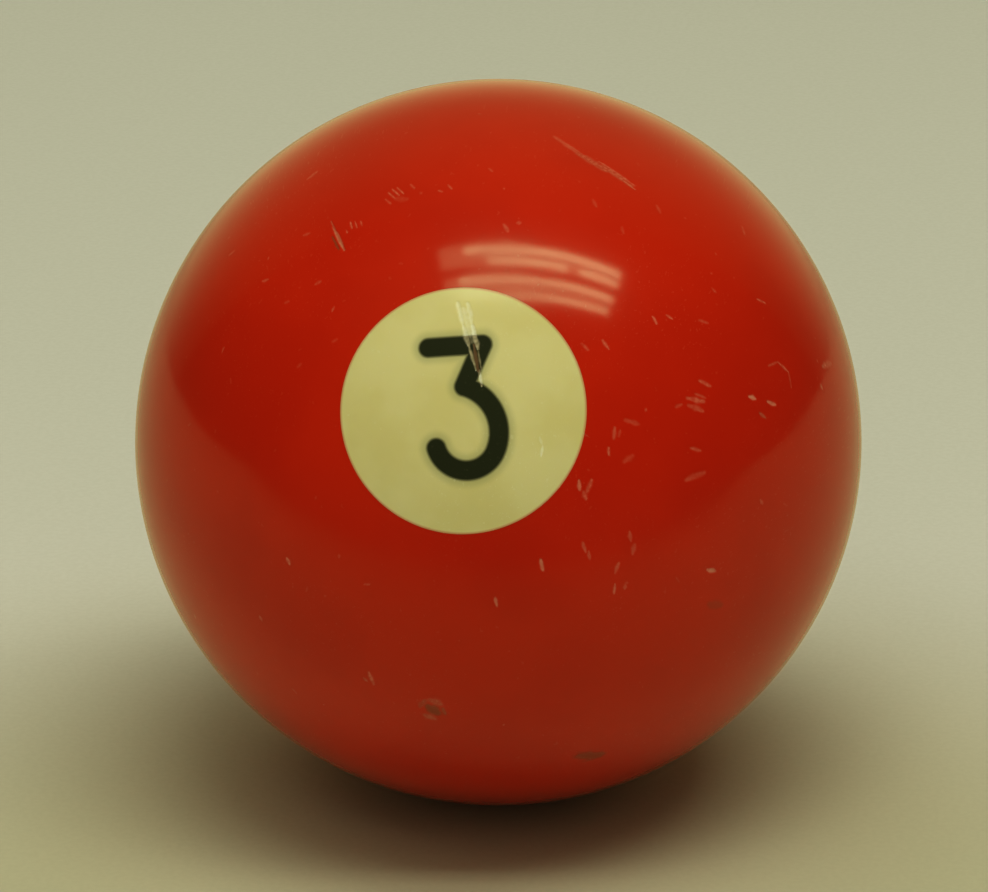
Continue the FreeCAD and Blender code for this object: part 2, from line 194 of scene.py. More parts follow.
# Each mark runs between two places on the ball.  A place is how far it is from the middle of the
# front number, and how far round the number it lies, anticlockwise from its right hand, in degrees.
# Then come the mark's width and depth in millimetres, how pale it is, and how grimy, if it is.
MARKS = [
    # the slip of a hard edge across the top of the front spot: two grooves that draw together
    (16.4, 95.3, 12.8, 92.0, 0.52, 0.03, 0.60),
    (12.8, 92.0, 9.7, 86.3, 0.50, 0.05, 0.80),
    (9.7, 86.3, 6.3, 72.0, 0.34, 0.06, 0.85),
    (16.3, 90.0, 12.9, 86.0, 0.56, 0.03, 0.60),
    (12.9, 86.0, 9.4, 77.5, 0.56, 0.05, 0.95),
    (9.4, 77.5, 6.6, 65.5, 0.22, 0.05, 0.60),
    (15.4, 91.8, 10.4, 83.5, 0.90, 0.02, 0.45),
    (9.9, 82.0, 6.2, 68.5, 0.42, 0.03, 0.20, 0.75),
    (6.4, 68.0, 4.6, 50.5, 0.34, 0.05, 0.85),
    # a nick in the cream
    (12.5, -17.3, 13.4, -22.1, 0.30, 0.02, 0.40),
    (13.4, -22.1, 13.9, -28.3, 0.30, 0.03, 0.70),
    # the long scrape over the number: a fuzzy band that ends in two brighter cuts
    (52.3, 77.2, 49.7, 70.9, 0.62, 0.01, 0.26),
    (49.9, 71.6, 48.7, 64.5, 0.80, 0.02, 0.30, 0.1),
    (49.4, 65.8, 48.6, 58.5, 0.70, 0.02, 0.34, 0.1),
    (50.1, 67.0, 49.1, 58.0, 0.30, 0.03, 0.42),
    (48.8, 61.5, 48.4, 57.6, 0.26, 0.03, 0.52),
    (51.4, 74.6, 49.0, 66.5, 0.22, 0.02, 0.36),
    # the short cut to the upper left
    (40.0, 127.9, 35.0, 128.9, 0.26, 0.04, 0.35, 0.2),
    (38.8, 128.3, 33.2, 129.3, 0.38, 0.07, 0.75, 0.2),
    (37.0, 129.8, 34.0, 130.4, 0.30, 0.02, 0.0, 0.55),
    # fine hatching beside it
    (40.0, 111.5, 38.1, 110.2, 0.20, 0.02, 0.55),
    (40.0, 110.3, 38.1, 109.0, 0.20, 0.02, 0.50),
    (39.5, 112.6, 37.8, 111.4, 0.20, 0.02, 0.42),
    (37.6, 111.2, 36.9, 108.6, 0.80, 0.01, 0.13),
    (38.4, 113.8, 37.0, 112.8, 0.26, 0.02, 0.28),
    (39.8, 107.0, 38.7, 106.2, 0.26, 0.02, 0.30),
    (37.2, 100.4, 36.8, 99.4, 0.24, 0.02, 0.36),
    (38.1, 97.9, 37.1, 96.9, 0.22, 0.02, 0.36),
    (36.3, 125.9, 35.7, 126.1, 0.22, 0.02, 0.45),
    (37.3, 124.0, 36.0, 124.4, 0.22, 0.02, 0.48),
    (37.0, 122.9, 35.6, 123.2, 0.20, 0.02, 0.48),
    (36.4, 121.6, 35.4, 121.8, 0.24, 0.02, 0.38),
    (53.3, 127.2, 53.6, 125.0, 0.50, 0.01, 0.24),
    (41.5, 135.0, 40.9, 133.6, 0.34, 0.02, 0.26),
    (41.9, 149.1, 41.0, 148.0, 0.40, 0.02, 0.28),
    (32.1, 141.8, 31.7, 140.2, 0.42, 0.02, 0.26),
    (34.9, 150.8, 34.4, 149.9, 0.34, 0.01, 0.20),
    (27.4, 166.9, 27.0, 165.6, 0.34, 0.01, 0.18),
    (23.2, 154.4, 22.8, 152.6, 0.34, 0.01, 0.18),
    (54.2, 148.2, 53.5, 147.0, 0.34, 0.01, 0.22),
    (41.6, 88.5, 41.0, 87.6, 0.30, 0.01, 0.26),
    (39.9, 53.8, 39.1, 52.4, 0.40, 0.01, 0.18),
    (41.3, 63.2, 40.4, 61.6, 0.44, 0.01, 0.20),
    (48.5, 52.0, 47.7, 50.4, 0.40, 0.01, 0.20),
    (61.9, 39.8, 61.0, 38.4, 0.40, 0.01, 0.22),
    # chips and rubs to the right of the number
    (47.3, 6.9, 48.5, 6.5, 0.50, 0.06, 0.95),
    (51.2, 6.0, 53.0, 5.5, 0.40, 0.05, 0.85),
    (49.3, 3.7, 50.6, 2.8, 0.40, 0.03, 0.34, 0.2),
    (35.4, 6.5, 38.3, 5.7, 0.56, 0.02, 0.42),
    (35.5, 4.7, 38.0, 3.4, 0.60, 0.02, 0.32),
    (33.3, 4.1, 34.3, 4.9, 0.44, 0.02, 0.24),
    (36.9, 7.6, 38.6, 6.6, 0.34, 0.02, 0.30),
    (37.9, 10.8, 39.8, 9.4, 0.40, 0.02, 0.40),
    (25.0, -0.7, 27.1, -1.7, 0.52, 0.02, 0.26),
    (23.4, -3.8, 23.5, -8.2, 0.38, 0.02, 0.36),
    (24.3, -4.6, 24.2, -7.0, 0.30, 0.02, 0.22),
    (23.0, -11.7, 23.4, -14.6, 0.32, 0.03, 0.62),
    (26.0, -15.0, 27.0, -12.2, 0.62, 0.01, 0.20),
    (36.3, -6.2, 38.2, -6.4, 0.40, 0.02, 0.34),
    (36.7, -14.4, 39.6, -11.2, 0.62, 0.02, 0.26),
    (51.9, -13.2, 52.6, -13.7, 0.34, 0.02, 0.34),
    (24.0, 29.6, 24.3, 25.8, 0.34, 0.03, 0.46),
    (20.8, 32.0, 21.2, 28.5, 0.40, 0.02, 0.28),
    (33.4, 30.1, 33.4, 27.8, 0.28, 0.03, 0.60),
    (35.7, 29.0, 36.4, 27.5, 0.28, 0.02, 0.42),
    (41.0, 25.2, 42.3, 24.0, 0.40, 0.01, 0.28),
    (54.7, 26.1, 56.3, 25.0, 0.30, 0.02, 0.40),
    (46.2, 31.0, 46.5, 29.9, 0.34, 0.01, 0.24),
    (68.0, 12.8, 71.6, 13.4, 0.70, 0.01, 0.34),
    (66.3, 9.5, 66.9, 8.8, 0.40, 0.02, 0.45),
    # a thin curved scratch near the right edge
    (52.4, 13.0, 54.8, 13.7, 0.24, 0.01, 0.34),
    (54.8, 13.7, 57.1, 11.7, 0.28, 0.02, 0.46),
    (57.1, 11.7, 57.3, 8.8, 0.22, 0.01, 0.34),
    # nicks below the number
    (20.7, -28.7, 21.6, -31.9, 0.44, 0.04, 0.66),
    (22.4, -26.0, 22.7, -31.0, 0.42, 0.02, 0.38),
    (22.3, -31.7, 23.2, -33.4, 0.50, 0.02, 0.32),
    (25.9, -60.3, 27.5, -61.3, 0.44, 0.05, 0.80),
    (29.5, -78.5, 30.8, -78.4, 0.40, 0.05, 0.75),
    (27.5, -45.6, 28.9, -46.8, 0.44, 0.02, 0.34),
    (29.1, -45.9, 30.2, -47.3, 0.36, 0.02, 0.34),
    (32.0, -33.6, 33.1, -35.4, 0.44, 0.02, 0.34),
    (34.0, -35.6, 34.7, -37.8, 0.50, 0.02, 0.30),
    (34.0, -42.1, 34.8, -44.7, 0.46, 0.02, 0.36),
    (36.2, -46.6, 37.3, -48.3, 0.32, 0.03, 0.60),
    (37.5, -44.9, 38.0, -45.6, 0.34, 0.02, 0.36),
    (47.7, -30.4, 49.2, -29.7, 0.50, 0.05, 0.95),
    (37.6, -139.8, 37.9, -138.2, 0.36, 0.04, 0.75),
    (46.4, -109.9, 48.5, -108.3, 0.42, 0.03, 0.50),
    (48.0, -110.6, 48.4, -109.8, 0.34, 0.02, 0.36, 0.1),
    (50.6, -135.6, 51.0, -134.8, 0.36, 0.02, 0.34),
    # bruises low on the ball: a ring of lifted resin round a dark pit, and two dull rubs
    (50.3, -96.6, 51.3, -94.8, 1.50, 0.04, 0.10, 0.55),
    (50.6, -98.3, 49.0, -97.4, 0.70, 0.02, 0.20, 0.2),
    (48.7, -96.2, 49.3, -94.2, 1.00, 0.03, 0.34, 0.1),
    (50.2, -93.8, 51.4, -93.3, 0.50, 0.02, 0.22, 0.3),
    (52.9, -95.4, 52.3, -97.2, 1.00, 0.03, 0.34, 0.1),
    (66.6, -71.2, 68.6, -68.0, 1.90, 0.04, 0.06, 0.50),
    (52.2, -35.6, 54.4, -34.5, 1.10, 0.01, 0.0, 0.22),
    # the far side has had its share
    (128.0, 20.0, 134.0, 26.0, 0.60, 0.02, 0.36),
    (129.0, 20.5, 133.0, 25.5, 0.24, 0.03, 0.50),
    (118.0, 78.0, 121.0, 76.0, 0.34, 0.04, 0.70, 0.2),
    (104.0, 140.0, 105.0, 139.0, 0.50, 0.05, 0.90),
    (96.0, -20.0, 101.0, -16.0, 0.34, 0.02, 0.40),
    (140.0, -110.0, 141.0, -109.0, 0.44, 0.05, 0.85),
    (112.0, -150.0, 113.0, -148.0, 1.00, 0.03, 0.0, 0.60),
    (150.0, 160.0, 153.0, 158.0, 0.32, 0.03, 0.55),
    (171.0, 40.0, 173.5, 75.0, 0.30, 0.02, 0.50),
    (92.0, 60.0, 97.0, 62.0, 0.28, 0.02, 0.46),
    (98.0, -75.0, 99.5, -73.5, 0.50, 0.03, 0.60),
    (122.0, -60.0, 124.5, -62.5, 0.34, 0.03, 0.50),
    (135.0, 110.0, 136.0, 108.0, 0.60, 0.02, 0.30),
]
NICK_COUNT = 120
NICK_SEED = 3
SPREAD = 1.35  # a mark's faint outskirts, over its width
RAGGED_GRAIN = 0.45 * MM  # how fine a mark's outline wanders
BROKEN_GRAIN = 0.22 * MM  # how fine its paleness breaks up
DEEPEST = 0.1 * MM  # the depth that full weight presses in
SKIN = 0.02 * MM  # what lies no deeper than this is the ball's skin


def place_on_ball(away, around, radius):
    """The point at a place that is given in degrees from the front number, and round it."""
    away, around = math.radians(away), math.radians(around)
    return Vector(
        (math.sin(away) * math.cos(around), math.sin(away) * math.sin(around), math.cos(away))
    ) * radius


def small_nicks():
    """Scattered specks and short nicks, the same ones every time."""
    chance = random.Random(NICK_SEED)
    nicks = []
    for _ in range(NICK_COUNT):
        away = math.degrees(math.acos(chance.uniform(-1, 1)))
        around = chance.uniform(-180, 180)
        reach = chance.uniform(0.0, 1.6) * chance.random()
        heading = chance.uniform(0, FULL_TURN)
        end_away = away + reach * math.cos(heading)
        end_around = around + reach * math.sin(heading) / max(0.2, math.sin(math.radians(away)))
        width = chance.uniform(0.16, 0.42)
        pale = chance.uniform(0.06, 0.34)
        depth = chance.uniform(0.005, 0.02)
        nicks.append((away, around, end_away, end_around, width, depth, pale))
    return nicks


def marks_on_ball(radius):
    """Every mark: its two ends, its width and depth in millimetres, how pale and how grimy."""
    for away, around, end_away, end_around, width, depth, pale, *grime in MARKS + small_nicks():
        start = place_on_ball(away, around, radius)
        end = place_on_ball(end_away, end_around, radius)
        yield start, end, width, depth, pale, sum(grime)


def tree_of(points):
    tree = KDTree(len(points))
    for index, point in enumerate(points):
        tree.insert(point, index)
    tree.balance()
    return tree


def distance_to_run(point, start, end):
    """How far a point is from a straight run, and how far along the run that is, from 0 to 1."""
    run = end - start
    along = (point - start).dot(run) / max(run.length_squared, TINY ** 2)
    along = min(1.0, max(0.0, along))
    return (point - start - run * along).length, along


def wear_of(piece, radius):
    """For each point of a piece: how deep it is worn in metres, how pale it is, and how grimy."""
    points = [vertex.co.copy() for vertex in piece.data.vertices]
    tree = tree_of(points)
    worn = [[0.0, 0.0, 0.0] for _ in points]
    for start, end, width, depth, pale, grime in marks_on_ball(radius):
        reach = (end - start).length / 2 + width * MM * SPREAD
        for point, index, _ in tree.find_range((start + end) / 2, reach):
            away, along = distance_to_run(point, start, end)
            taper = 0.6 + 0.4 * math.sin(math.pi * along)
            ragged = 0.84 + 0.4 * noise.noise(point / RAGGED_GRAIN)
            half_width = width * MM / 2 * SPREAD * taper * ragged
            strength = max(0.0, 1.0 - away / half_width)
            if strength == 0.0:
                continue
            broken = 0.84 + 0.45 * noise.noise(point / BROKEN_GRAIN)
            soft = min(1.0, 1.35 * strength * strength * (3 - 2 * strength))
            values = worn[index]
            values[0] = max(values[0], strength * depth * MM)
            values[1] = max(values[1], min(1.0, soft * pale * broken))
            values[2] = max(values[2], soft * grime)
    return worn


# ----------------------------------------
# Modelling helpers
# ----------------------------------------


def deselect_all():
    if bpy.context.object and bpy.context.object.mode != "OBJECT":
        bpy.ops.object.mode_set(mode="OBJECT")
    bpy.ops.object.select_all(action="DESELECT")


def activate(piece):
    """Make a piece the only selected one."""
    deselect_all()
    piece.select_set(True)
    bpy.context.view_layer.objects.active = piece


def edit_all(piece):
    """Go into edit mode with the whole piece selected."""
    activate(piece)
    bpy.ops.object.mode_set(mode="EDIT")
    bpy.ops.mesh.select_mode(type="VERT")
    bpy.ops.mesh.select_all(action="SELECT")


def edit_where(piece, kind, wanted):
    """Go into edit mode with only the vertices or the faces that pass a test selected."""
    activate(piece)
    bpy.ops.object.mode_set(mode="EDIT")
    bpy.ops.mesh.select_mode(type=kind)
    bpy.ops.mesh.select_all(action="DESELECT")
    bpy.ops.object.mode_set(mode="OBJECT")
    parts = piece.data.vertices if kind == "VERT" else piece.data.polygons
    parts.foreach_set("select", [bool(wanted(part)) for part in parts])
    bpy.ops.object.mode_set(mode="EDIT")


def object_mode():
    bpy.ops.object.mode_set(mode="OBJECT")


def apply_place(piece):
    """Move a piece's place, turn and scale into its mesh."""
    activate(piece)
    bpy.ops.object.transform_apply(location=True, rotation=True, scale=True)


def turn(piece, x=0.0, y=0.0, z=0.0):
    """Turn a piece about the ball's centre, in its mesh."""
    piece.rotation_euler = (x, y, z)
    apply_place(piece)


def call(piece, name):
    """Name a piece and its mesh."""
    piece.name = name
    piece.data.name = name


def copy_of(piece, name):
    """A copy with its own mesh."""
    activate(piece)
    bpy.ops.object.duplicate(linked=False)
    copy = bpy.context.object
    call(copy, name)
    return copy


def remove(*pieces):
    for piece in pieces:
        bpy.data.objects.remove(piece)


def close_up(piece):
    """Merge what coincides, and turn every face outwards."""
    edit_all(piece)
    bpy.ops.mesh.remove_doubles(threshold=TINY)
    bpy.ops.mesh.normals_make_consistent(inside=False)
    object_mode()


def shape_with(piece, kind, **settings):
    """Add a modifier to a piece, and apply it."""
    modifier = piece.modifiers.new(kind.title(), kind)
    for key, value in settings.items():
        setattr(modifier, key, value)
    activate(piece)
    bpy.ops.object.modifier_apply(modifier=modifier.name)


def combine(piece, operation, other):
    """Cut, join or intersect a piece with another, which is left as it was."""
    shape_with(piece, "BOOLEAN", operation=operation, solver="EXACT", object=other)


def finish_surface(piece):
    """Shade the piece smooth, except at its sharp edges."""
    activate(piece)
    bpy.ops.object.shade_smooth_by_angle(angle=SHARP)


def lean_into_place(piece, sizes):
    """Lean the number axis from straight up to where it points on the ball at rest."""
    turn(piece, x=QUARTER_TURN - sizes.number_tilt)


# ----------------------------------------
# Turned shapes: the ball and the spots
# ----------------------------------------


def ball_outline(name, radius, points, lowest, highest):
    """The right half of the ball's outline between two heights, ready for the lathe."""
    deselect_all()
    bpy.ops.mesh.primitive_circle_add(
        vertices=points, radius=radius, rotation=(QUARTER_TURN, 0, 0)
    )
    outline = bpy.context.object
    call(outline, name)
    apply_place(outline)
    cuts = [
        ((0, 0, 0), (-1, 0, 0)),
        ((0, 0, highest), (0, 0, 1)),
        ((0, 0, lowest), (0, 0, -1)),
    ]
    for where, off in cuts:
        edit_all(outline)
        bpy.ops.mesh.bisect(plane_co=where, plane_no=off, clear_outer=True, threshold=TINY / 10)
    object_mode()
    return outline


def draw_insert(outline, end, side, edge, back, corner):
    """Carry on an outline from its top (1) or its foot (-1): along the insert's side from the
    height of its edge to that of its back, round its corner and to the axis."""
    tip = max(outline.data.vertices, key=lambda vertex: end * vertex.co.z).index
    outline.data.vertices[tip].co = (side, 0, edge)
    edit_where(outline, "VERT", lambda vertex: vertex.index == tip)
    for step in ((0, 0, back - edge), (-side, 0, 0)):
        bpy.ops.mesh.extrude_region_move(TRANSFORM_OT_translate={"value": step})
    edit_where(
        outline,
        "VERT",
        lambda vertex: abs(vertex.co.z - back) < TINY and vertex.co.x > side / 2,
    )
    bpy.ops.mesh.bevel(offset=corner, segments=CORNER_SEGMENTS, affect="VERTICES")
    object_mode()


def turn_on_lathe(outline):
    """Spin an outline a full turn about the number axis."""
    edit_all(outline)
    bpy.ops.mesh.spin(steps=LATHE_STEPS, angle=FULL_TURN, center=(0, 0, 0), axis=(0, 0, 1))
    object_mode()
    close_up(outline)


def refine_marks(piece, radius, cuts, coarse):
    """Divide the faces under every mark, and lay the new points on the ball again."""
    tree = tree_of([face.center.copy() for face in piece.data.polygons])
    wanted = set()
    for start, end, width, *_ in marks_on_ball(radius):
        samples = 1 + math.ceil((end - start).length / coarse)
        for sample in range(samples + 1):
            spot = start.lerp(end, sample / samples)
            for _, index, _ in tree.find_range(spot, width * MM / 2 * SPREAD + coarse * 0.5):
                wanted.add(index)
    edit_where(piece, "FACE", lambda face: face.index in wanted)
    bpy.ops.mesh.subdivide(number_cuts=cuts, smoothness=0)
    object_mode()

    skin = piece.vertex_groups.new(name="skin")
    outermost = [v.index for v in piece.data.vertices if v.co.length > radius - SKIN]
    skin.add(outermost, 1.0, "REPLACE")
    shape_with(piece, "CAST", cast_type="SPHERE", factor=1.0, size=radius,
               use_radius_as_size=False, vertex_group=skin.name)


def carve_marks(piece, radius):
    """Press every mark into the piece's skin."""
    group = piece.vertex_groups.new(name="worn")
    for index, (depth, _, _) in enumerate(wear_of(piece, radius)):
        if depth > 0:
            group.add([index], depth / DEEPEST, "REPLACE")
    shape_with(piece, "DISPLACE", direction="NORMAL", mid_level=0.0, strength=-DEEPEST,
               vertex_group=group.name)
    piece.vertex_groups.clear()


def store(piece, name, values):
    """Keep one number for each point of a piece, for its material to read."""
    attribute = piece.data.attributes.new(name, "FLOAT", "POINT")
    attribute.data.foreach_set("value", values)


def store_wear(piece, radius):
    worn = wear_of(piece, radius)
    store(piece, "scuff", [values[1] for values in worn])
    store(piece, "grime", [values[2] for values in worn])


# ----------------------------------------
# The numeral's stroke
# ----------------------------------------

PROUD = 1.0 * MM  # how far a stroke's solid stands out past the ball, until it is cut to it
TIP_GAP = 0.002 * MM  # a round end's radius is this much under half the stroke's width
TIP_TURN = math.radians(2)  # keeps the corners of a round end off the walls of the bars


def stroke_line(numeral):
    """The middle line of the stroke: two straight runs, then two arcs that flow together."""
    bar_start = Vector((-numeral.bar_left, numeral.bar_height))
    bar_end = Vector((numeral.bar_right, numeral.bar_height))
    elbow = Vector((numeral.elbow_right, numeral.elbow_height))
    bowl = Vector((numeral.bowl_right, -numeral.bowl_drop))
    join = -math.asin(numeral.join_drop / numeral.bowl_radius)
    tail = -math.pi + math.asin(numeral.tail_drop / numeral.bowl_radius)
    to_elbow = elbow - bowl
    to_join = Vector((math.cos(join), math.sin(join)))
    setback = (to_elbow.length_squared - numeral.bowl_radius ** 2) / (
        2 * (numeral.bowl_radius - to_elbow.dot(to_join))
    )
    shoulder = bowl - to_join * setback
    from_shoulder = elbow - shoulder
    elbow_angle = math.atan2(from_shoulder.y, from_shoulder.x)
    runs = [(bar_start, bar_end), (bar_end, elbow)]
    arcs = [
        (shoulder, numeral.bowl_radius + setback, elbow_angle, join),
        (bowl, numeral.bowl_radius, join, tail),
    ]
    return runs, arcs


def on_arc(centre, radius, direction):
    return centre + Vector((math.cos(direction), math.sin(direction))) * radius


def distance_to_stroke(point, line):
    """How far a point of the number's face is from the middle line of the stroke."""
    runs, arcs = line
    found = [distance_to_run(point, start, end)[0] for start, end in runs]
    for centre, radius, first, last in arcs:
        offset = point - centre
        middle, half = (first + last) / 2, abs(first - last) / 2
        turn = (math.atan2(offset.y, offset.x) - middle + math.pi) % FULL_TURN - math.pi
        if abs(turn) <= half:
            found.append(abs(offset.length - radius))
        else:
            found.append((point - on_arc(centre, radius, first)).length)
            found.append((point - on_arc(centre, radius, last)).length)
    return min(found)


def straight_bar(start, end, width, bottom, top):
    deselect_all()
    middle = (start + end) / 2
    run = end - start
    bpy.ops.mesh.primitive_cube_add(
        size=1,
        location=(middle.x, middle.y, (bottom + top) / 2),
        rotation=(0, 0, math.atan2(run.y, run.x)),
    )
    bar = bpy.context.object
    bar.scale = (run.length, width, top - bottom)
    apply_place(bar)
    return bar


def pen_tip(point, width, bottom, top):
    """A round end or corner, a hair inside the bars so that no wall lies on another."""
    deselect_all()
    bpy.ops.mesh.primitive_cylinder_add(
        vertices=STROKE_STEPS,
        radius=width / 2 - TIP_GAP,
        depth=top - bottom,
        location=(point.x, point.y, (bottom + top) / 2),
        rotation=(0, 0, TIP_TURN),
    )
    tip = bpy.context.object
    apply_place(tip)
    return tip


def curved_bar(arcs, width, bottom, top):
    """Sweep the stroke's section round one arc after the other."""
    deselect_all()
    centre, radius, first, _ = arcs[0]
    start = on_arc(centre, radius, first)
    bpy.ops.mesh.primitive_plane_add(
        size=1,
        location=(start.x, start.y, (bottom + top) / 2),
        rotation=(QUARTER_TURN, 0, first),
    )
    bar = bpy.context.object
    bar.scale = (width, top - bottom, 1)
    apply_place(bar)
    edit_all(bar)
    for centre, radius, first, last in arcs:
        bpy.ops.mesh.spin(
            steps=STROKE_STEPS, angle=first - last, center=(*centre, 0), axis=(0, 0, 1)
        )
    object_mode()
    close_up(bar)
    return bar


def stroke_solid(name, numeral, sizes, allowance):
    """The whole numeral as one straight-sided solid that stands out past the ball."""
    runs, arcs = stroke_line(numeral)
    width = numeral.stroke_width + 2 * allowance
    bottom = sizes.radius - numeral.depth - allowance
    top = sizes.radius + PROUD
    tail = on_arc(arcs[-1][0], arcs[-1][1], arcs[-1][3])
    corners = [runs[0][0], runs[0][1], runs[1][1], tail]
    solid = curved_bar(arcs, width, bottom, top)
    others = [straight_bar(start, end, width, bottom, top) for start, end in runs]
    others += [pen_tip(corner, width, bottom, top) for corner in corners]
    for other in others:
        combine(solid, "UNION", other)
    remove(*others)
    call(solid, name)
    turn(solid, z=sizes.number_roll)
    return solid


# ----------------------------------------
# Materials
# ----------------------------------------

RIPPLE = 0.0018 * MM  # how far the polish is from a true sphere
# painted shade: the near-black that the mirrored paper fades to before the ball
PAINTED_ROOM_SHADE = (0.06, 0.06, 0.04)  # what the paper fades to where the ball mirrors the dim room


class Nodes:
    """A node tree under construction: adds nodes and joins them up."""

    def __init__(self, owner):
        owner.use_nodes = True
        self.tree = owner.node_tree
        self.tree.nodes.clear()

    def add(self, kind, **settings):
        node = self.tree.nodes.new(kind)
        for key, value in settings.items():
            setattr(node, key, value)
        return node

    def join(self, source, target):
        if isinstance(source, (int, float)):
            target.default_value = source
        elif isinstance(source, (tuple, list)) or hasattr(source, "r"):
            target.default_value = (*tuple(source)[:3], 1.0)
        else:
            self.tree.links.new(source, target)

    def ramp(self, value, low, high, start=0.0, end=1.0):
        """Carry a value smoothly from one range to another, held at both ends."""
        node = self.add("ShaderNodeMapRange", clamp=True, interpolation_type="SMOOTHSTEP")
        for name, number in (
            ("From Min", low), ("From Max", high), ("To Min", start), ("To Max", end),
        ):
            node.inputs[name].default_value = number
        self.join(value, node.inputs["Value"])
        return node.outputs["Result"]

    def maths(self, operation, first, second=0.0):
        node = self.add("ShaderNodeMath", operation=operation)
        self.join(first, node.inputs[0])
        self.join(second, node.inputs[1])
        return node.outputs[0]

    def vector_maths(self, operation, vector, fixed=None, output="Value"):
        node = self.add("ShaderNodeVectorMath", operation=operation)
        self.join(vector, node.inputs[0])
        if fixed is not None:
            node.inputs[1].default_value = fixed
        return node.outputs[output]

    def mix(self, share, first, second, **settings):
        node = self.add("ShaderNodeMix", data_type="RGBA", **settings)
        self.join(share, node.inputs["Factor"])
        self.join(first, node.inputs["A"])
        self.join(second, node.inputs["B"])
        return node.outputs["Result"]


class Finish(Nodes):
    """A material under construction."""

    def __init__(self, name):
        self.material = bpy.data.materials.new(name)
        super().__init__(self.material)
        self.shader = self.add("ShaderNodeBsdfPrincipled")
        output = self.add("ShaderNodeOutputMaterial")
        self.join(self.shader.outputs[0], output.inputs["Surface"])
        self.place = self.add("ShaderNodeTexCoord").outputs["Object"]

    def attribute(self, name):
        return self.add("ShaderNodeAttribute", attribute_name=name).outputs["Fac"]

    def set(self, **numbers):
        """Set the shader's own sockets, which are named with _ for each space."""
        for name, number in numbers.items():
            self.shader.inputs[name.replace("_", " ")].default_value = number

    def noise(self, grain, detail=2.0, stretch=(1, 1, 1), turn=(0, 0, 0), roughness=0.5):
        """Noise whose grain is given in millimetres."""
        mapping = self.add("ShaderNodeMapping", vector_type="POINT")
        mapping.inputs["Scale"].default_value = stretch
        mapping.inputs["Rotation"].default_value = [math.radians(value) for value in turn]
        self.join(self.place, mapping.inputs["Vector"])
        texture = self.add("ShaderNodeTexNoise")
        texture.inputs["Scale"].default_value = 1 / (grain * MM)
        texture.inputs["Detail"].default_value = detail
        texture.inputs["Roughness"].default_value = roughness
        self.join(mapping.outputs[0], texture.inputs["Vector"])
        return texture.outputs["Fac"]

    def streaks(self, width, reach, turn, rarity):
        """Fine straight scratches: the peaks of a long-drawn noise."""
        drawn = self.noise(width, detail=1.0, stretch=(1, width / reach, 1), turn=turn)
        return self.ramp(drawn, rarity, rarity + 0.06)

    def polish_wear(self, colour_in, scuff_colour, grime_colour, share, base_roughness):
        """Years of play on a polished resin: haze, fine scratches, specks, scuffs and grime."""
        scuff = self.attribute("scuff")
        grime = self.attribute("grime")
        first = self.streaks(0.22, 5.0, (20, 35, 10), 0.70)
        second = self.streaks(0.20, 4.0, (-40, 15, 75), 0.70)
        third = self.streaks(0.26, 7.0, (65, -20, 40), 0.71)
        lines = self.maths("MAXIMUM", self.maths("MAXIMUM", first, second), third)
        patches = self.ramp(self.noise(9.0, detail=2.0), 0.46, 0.62)
        lines = self.maths("MULTIPLY", lines, patches)
        specks = self.ramp(self.noise(0.45, detail=1.0), 0.72, 0.80)
        dust = self.maths("MAXIMUM", lines, specks)

        colour_out = self.mix(self.maths("MULTIPLY", dust, share), colour_in, scuff_colour)
        colour_out = self.mix(scuff, colour_out, scuff_colour)
        colour_out = self.mix(grime, colour_out, grime_colour)
        self.join(colour_out, self.shader.inputs["Base Color"])

        haze = self.ramp(self.noise(7.0, detail=3.0, roughness=0.6), 0.35, 0.7, 0.0, 0.035)
        roughness = self.maths("ADD", haze, base_roughness)
        for wear, dulling in ((dust, 0.10), (scuff, 0.45), (grime, 0.35)):
            roughness = self.maths("ADD", roughness, self.maths("MULTIPLY", wear, dulling))
        self.join(roughness, self.shader.inputs["Roughness"])

        ripple = self.noise(2.4, detail=2.0)
        grain = self.noise(0.16, detail=2.0)
        height = self.maths("ADD", ripple, self.maths("MULTIPLY", grain, 0.10))
        height = self.maths("SUBTRACT", height, self.maths("MULTIPLY", lines, 0.35))
        crazed = self.maths("MULTIPLY", self.maths("MULTIPLY", grain, scuff), 6.0)
        height = self.maths("ADD", height, crazed)
        bump = self.add("ShaderNodeBump")
        bump.inputs["Strength"].default_value = 1.0
        bump.inputs["Distance"].default_value = RIPPLE
        self.join(height, bump.inputs["Height"])
        self.join(bump.outputs[0], self.shader.inputs["Normal"])


def resin(name):
    """Polished resin whose worn skin spreads part of the gloss into a wide haze."""
    finish = Finish(name)
    finish.set(IOR=1.45, Metallic=0.0, Coat_Weight=0.18, Coat_Roughness=0.34, Coat_IOR=1.5)
    return finish


def red_resin(colours):
    """Opaque red casting resin, with the faint drifts of the pour."""
    finish = resin("red_resin")
    finish.set(Specular_Tint=(0.60, 0.95, 0.78, 1))
    drift = finish.ramp(finish.noise(14.0, detail=3.0), 0.35, 0.65)
    body = finish.mix(drift, colours.red, colours.deep_red)
    finish.polish_wear(body, colours.red_scuff, colours.grime, 0.08, 0.10)
    return finish.material


def soften_edge(finish, from_edge, outside, inside, dye):
    """Let the numeral's dye fade across its edge, with a faint stain further out."""
    core = finish.ramp(from_edge, -0.13, 0.17)
    stain = finish.ramp(from_edge, 0.05, 0.8, 0.35, 0.0)
    stained = finish.mix(stain, outside, dye)
    return finish.mix(core, inside, stained)


